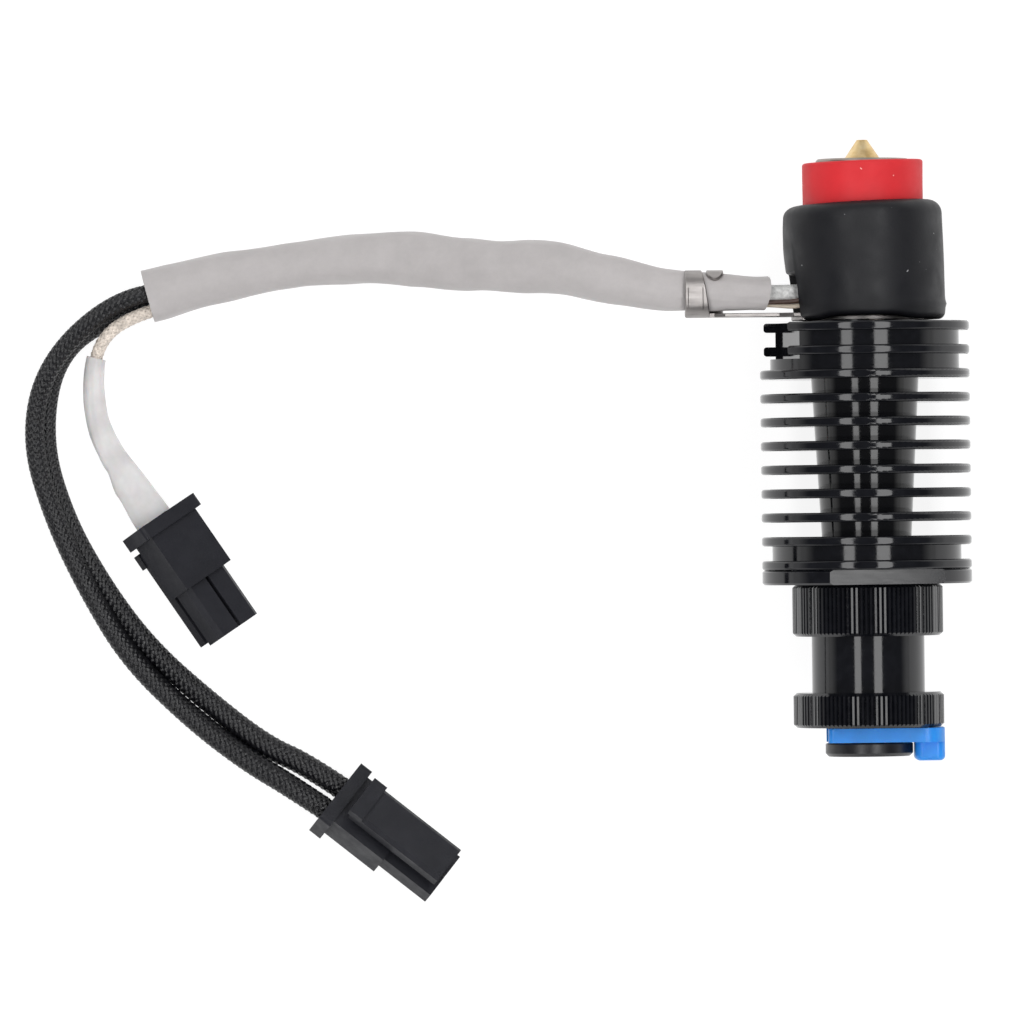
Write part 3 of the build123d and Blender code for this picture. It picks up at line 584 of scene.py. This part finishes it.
LABEL_LENGTH, LABEL_WALL, LABEL_WRINKLE = 19.6 * MM, 0.14 * MM, 0.03 * MM
LABEL_EDGES = ([(0.0, 1.0), (0.3, 1.13), (0.5, 1.15), (0.62, 1.3), (0.78, 1.95), (1.0, 2.4)],
               [(0.0, 1.05), (0.3, 1.3), (0.55, 1.6), (0.8, 1.7), (1.0, 1.75)])


def label_half_height(share, wide):
    """Flattens towards the plug, where it widens."""
    return MM * between(share, [(0.0, 0.92), (0.6, 0.95), (1.0, 0.86)])


label = soft_tube("label_sleeve_skin", sensor_path, sensor_path.length - LABEL_LENGTH, LABEL_EDGES,
                  label_half_height, LABEL_WALL, (0.0, 0.0), SHRINK, "white_shrink", "label_sleeve",
                  LABEL_WRINKLE)


# The heater's own fibre sleeve, seen between the boot and the gray sleeve.
def wired(u, w, y):
    """A point along the wires (u), to the front (w) and up the axis, in millimetres."""
    return tuple(SIDE * u + FRONT * w + Vector((0, y, 0)))


FIBRE_YARN, FIBRE_PITCH = (0.52 * MM, 0.13 * MM), 6.0 * MM
FIBRE_ROUTE = [wired(4.75, 0, 39.5), wired(10.2, 0, 39.2), wired(18.5, 0, 39.75), (-26.4, 41.1, 3.0),
               (-29.4, 41.7, 2.0)]
FIBRE_GIRTH = [(0.0, 1.02), (1.0, 1.02)]
braid("heater_fibre_braid", FIBRE_ROUTE, FIBRE_GIRTH, FIBRE_STRANDS, FIBRE_PITCH, FIBRE_YARN, FIBRE,
      "mottled_fibre", "heater_fibre_sleeve")


# ---------------------------------------------------------------- strain relief
# Millimetres, in the sheet's own places: u along the wires, w to the front, y up the axis.
SHEET = 0.42
EDGE = 0.06                                   # softened edge of a flat part
STRAP_EDGE = 0.09
LAND_Y, ARM_Y = 36.55, 36.98                  # lower faces of the washer and of the arm
ARM_HALF = 2.5
ARM_FROM = 6.9
WRAP_Y, WRAP_HIGH, WRAP_DEEP = 39.49, 2.3, 2.62    # middle and half sizes of the loop round the sleeve
WRAP_SQUARE = 0.85                            # 1 would be an ellipse, less is squarer
WRAP_BACK = 0.1
STRAP_LEFT, STRAP_RIGHT, STRAP_SLANT = -19.1, -16.5, 0.8
PANEL = (-18.8, -17.15)
PANEL_RISE = 0.16
TAB_X, TAB_HALF = -15.9, 0.9
TAB_ROUND = (290, 34)                         # angle at which the tip starts, and the angle that it takes


def wrapped(x, angle, lift):
    """A point on a strap round the sleeve, in metres; angle 0 faces front and 90 is towards the nozzle."""
    c, d = math.cos(math.radians(angle)), math.sin(math.radians(angle))
    axis_z = -x * math.tan(ROLL) - WRAP_BACK
    out = Vector((0, d / WRAP_HIGH, c / WRAP_DEEP)).normalized()
    deep, high = (math.copysign(abs(v) ** WRAP_SQUARE, v) for v in (c, d))
    return (Vector((x, WRAP_Y + WRAP_HIGH * high, axis_z + WRAP_DEEP * deep)) + out * lift) * MM


def strap(angles, sides, lift=0.0, thick=SHEET):
    """A sheet strap over a range of angles; sides(angle) gives its two edges in x."""
    rings = []
    for angle in angles:
        left, right = sides(angle)
        soft = min(STRAP_EDGE, (right - left) / 4)
        low, high = lift - thick / 2, lift + thick / 2
        corners = [(left, low + soft), (left, high - soft), (left + soft, high), (right - soft, high),
                   (right, high - soft), (right, low + soft), (right - soft, low), (left + soft, low)]
        rings.append([wrapped(x, angle, out) for x, out in corners])
    return skin(rings)


def toward(value, middle, step):
    """A value moved by a step towards the middle, but not past it."""
    return value - math.copysign(min(step, abs(value - middle)), value - middle)


def slab(outline, y, thick=SHEET):
    """A flat plate with an outline of (u, w) points and softened edges, upwards from y."""
    middle_u = sum(u for u, w in outline) / len(outline)
    middle_w = sum(w for u, w in outline) / len(outline)
    rings = []
    for height, inset in ((0, EDGE), (EDGE, 0.0), (thick - EDGE, 0.0), (thick, EDGE)):
        ring = [(toward(u, middle_u, inset), toward(w, middle_w, inset)) for u, w in outline]
        rings.append([Vector(wired(u, w, y + height)) * MM for u, w in ring])
    return skin(rings)


def washer(outer, inner, y):
    """A flat ring round the filament axis with softened edges, upwards from y."""
    top = y + SHEET
    profile = [(inner, y + EDGE), (inner + EDGE, y), (outer - EDGE, y), (outer, y + EDGE),
               (outer, top - EDGE), (outer - EDGE, top), (inner + EDGE, top), (inner, top - EDGE)]
    rings = [[Vector((r * c, height, r * d)) * MM for r, height in profile] for c, d in circle(96)]
    return skin(rings, loop=True)


def span(start, end, count):
    """Evenly spaced values, ends included."""
    return [start + (end - start) * i / count for i in range(count + 1)]


def strap_sides(angle):
    """The wide strap: its near edge slants, so that it narrows towards the top."""
    return STRAP_LEFT, STRAP_RIGHT - STRAP_SLANT * smooth((angle + 60) / 150)


def tab_sides(angle):
    """The narrow tab, with a round tip that points down the front."""
    start, takes = TAB_ROUND
    half = TAB_HALF * math.sqrt(max(1 - max((-angle - start) / takes, 0) ** 2, 0.04))
    return TAB_X - half, TAB_X + half


def panel_sides(angle):
    """A plain raised panel on the wide strap."""
    return PANEL


def strain_relief():
    """Bracket: washer under the heater, arm along the wires, and two straps bent round the sleeve."""
    foot = [(5, -ARM_HALF), (7.3, -ARM_HALF), (7.3, ARM_HALF), (5, ARM_HALF)]
    riser = [(ARM_FROM, -ARM_HALF), (7.35, -ARM_HALF), (7.35, 2.3), (ARM_FROM, 2.3)]
    arm = [(ARM_FROM, -ARM_HALF), (18.9, -ARM_HALF), (19.5, 0.3), (16.4, 0.3), (15.4, 1.1), (9.5, 1.1),
           (8.2, 2.3), (ARM_FROM, 2.3)]
    verts, faces = [], []
    for shape in (washer(6.4, 2.5, LAND_Y), slab(foot, LAND_Y), slab(riser, LAND_Y + 0.05, 0.8),
                  slab(arm, ARM_Y), strap(span(-125, 101, 60), strap_sides),
                  strap(span(-96, -323, 68), tab_sides),
                  strap(span(-39, 12, 16), panel_sides, SHEET / 2, PANEL_RISE)):
        add(verts, faces, shape)
    piece("strain_relief_bracket_skin", verts, faces, NICKEL, "main", "nickel_sheet", "strain_relief_bracket")


strain_relief()


# ---------------------------------------------------------------- silicone covers
def turned_cover(name, profile, shape, sides, material, slot, node, body):
    """A closed outline of (radius, y) turned about the axis, then shaped point by point."""
    turns = [2 * math.pi * k / sides for k in range(sides)]
    verts, faces = skin([[shape(r, y, t) for r, y in profile] for t in turns], loop=True)
    return piece(name, verts, faces, material, body, slot, node)


def arc(cx, cy, radius, start, end, count):
    """Points of a round corner, angles in degrees."""
    turns = [math.radians(turn) for turn in span(start, end, count)]
    return [(cx + radius * math.cos(t), cy + radius * math.sin(t)) for t in turns]


def straight(a, b, count):
    """Points between two corners, without the ends."""
    return [(a[0] + (b[0] - a[0]) * i / count, a[1] + (b[1] - a[1]) * i / count) for i in range(1, count)]


# The boot, in millimetres. A round is (centre's radius from the axis, centre's y, its own radius).
BOOT_LOW, BOOT_HIGH = 37.05, 49.0
BOOT_ARCH = 42.0                              # top of the opening for the wires
BOOT_LIP, BOOT_RIM = (7.55, 37.6, 0.5), (7.9, 37.75, 0.68)
BOOT_SHOULDER, BOOT_MOUTH = (6.95, 47.6, 1.4), (6.85, 48.8, 0.2)
BOOT_BORE = (6.95, 37.5)
BOOT_BORE_LEAST = 6.58                        # clear of the sock when both are pulled
BOOT_BULGE, BOOT_PINCH = 0.10, 0.80           # the wall stands out, but falls in beside the wires
BOOT_TILT_X, BOOT_TILT_Z = 0.28, 0.12         # rise of the mouth to the right and to the front
BOOT_DROP, BOOT_LIFT = 0.5, 0.4               # the rim hangs, less at the front
BOOT_RIDGE_Y, BOOT_RIDGE = 38.2, 0.16
BOOT_SIDES, SOCK_SIDES = 360, 192


def boot_profile():
    """Outline of the boot's wall: lip, outside, shoulder, mouth and inside."""
    outer_low = (BOOT_RIM[0] + BOOT_RIM[2], BOOT_RIM[1])
    outer_high = (BOOT_SHOULDER[0] + BOOT_SHOULDER[2], BOOT_SHOULDER[1] - 0.1)
    outline = arc(*BOOT_LIP, 200, 270, 5) + arc(*BOOT_RIM, -80, 0, 8) + straight(outer_low, outer_high, 26)
    outline += arc(*BOOT_SHOULDER, 0, 90, 10) + arc(*BOOT_MOUTH, 90, 180, 4)
    outline += straight((BOOT_MOUTH[0] - BOOT_MOUTH[2], BOOT_MOUTH[1]), BOOT_BORE, 20)
    return outline


def boot_shape(r, y, t):
    """Tilts the top, lets the wall sag and lifts its lower edge over the wires."""
    out = Vector((math.cos(t), 0, math.sin(t)))
    turn = math.atan2(out.dot(FRONT), out.dot(SIDE))
    open_by = smooth((0.31 - turn) / 0.09) * smooth((turn + 0.62) / 0.12)
    share = (y - BOOT_LOW) / (BOOT_HIGH - BOOT_LOW)
    y += (BOOT_ARCH - BOOT_LOW + 0.3 * turn) * open_by * (1 - share) ** 1.6
    low = smooth((46 - y) / 8)
    r += BOOT_BULGE * math.sin(math.pi * share) - BOOT_PINCH * smooth((1.3 - abs(turn)) / 1.1) * low
    r += 0.12 * smooth(-out.x) * smooth((share - 0.55) / 0.3)
    r += 0.10 * noise.noise(Vector((out.x * 2.1, y * 0.22, out.z * 2.1)))
    hang = BOOT_DROP - BOOT_LIFT * smooth((out.z - 0.76) / 0.2)
    y += (BOOT_TILT_X * out.x + BOOT_TILT_Z * out.z) * share - hang * (1 - share) ** 3
    ridge = math.exp(-((y - BOOT_RIDGE_Y) / 0.35) ** 2) * (0.4 + 0.6 * smooth((out.x - 0.2) / 0.6))
    r = max(r + BOOT_RIDGE * ridge, BOOT_BORE_LEAST)
    return Vector((out.x * r, y, out.z * r)) * MM


turned_cover("heater_boot_skin", boot_profile(), boot_shape, BOOT_SIDES, BLACK_RUBBER, "black_silicone",
             "heater_boot", "boot")


SOCK_LOW, SOCK_HIGH = 46.3, 53.43
SOCK_OUTSIDE, SOCK_INSIDE, SOCK_MOUTH = 6.42, 5.6, 5.12
SOCK_TILT = 0.16


def sock_profile():
    """Outline of the sock's wall: outside, rounded top corner, lip and inside."""
    outline = straight((SOCK_OUTSIDE - 0.04, SOCK_LOW), (SOCK_OUTSIDE, SOCK_HIGH - 0.33), 14)
    outline += arc(SOCK_OUTSIDE - 0.3, SOCK_HIGH - 0.3, 0.3, 0, 90, 6)
    outline += straight((SOCK_OUTSIDE - 0.3, SOCK_HIGH), (SOCK_MOUTH, SOCK_HIGH), 4)
    outline += arc(5.2, 53.3, 0.12, 90, 180, 3) + arc(5.2, 52.8, 0.12, 180, 270, 2)
    outline += straight((5.3, 52.68), (SOCK_INSIDE, 52.6), 2)
    outline += straight((SOCK_INSIDE, 52.6), (SOCK_INSIDE, SOCK_LOW + 0.05), 10)
    return outline


def sock_shape(r, y, t):
    """A slight tilt and a soft, not quite round wall."""
    c, d = math.cos(t), math.sin(t)
    r += 0.05 * noise.noise(Vector((c * 1.6, y * 0.2, d * 1.6 + 5)))
    y += SOCK_TILT * c * smooth((y - 48) / 4)
    return Vector((c * r, y, d * r)) * MM


turned_cover("nozzle_sock_skin", sock_profile(), sock_shape, SOCK_SIDES, RED, "red_silicone",
             "nozzle_sock", "sock")
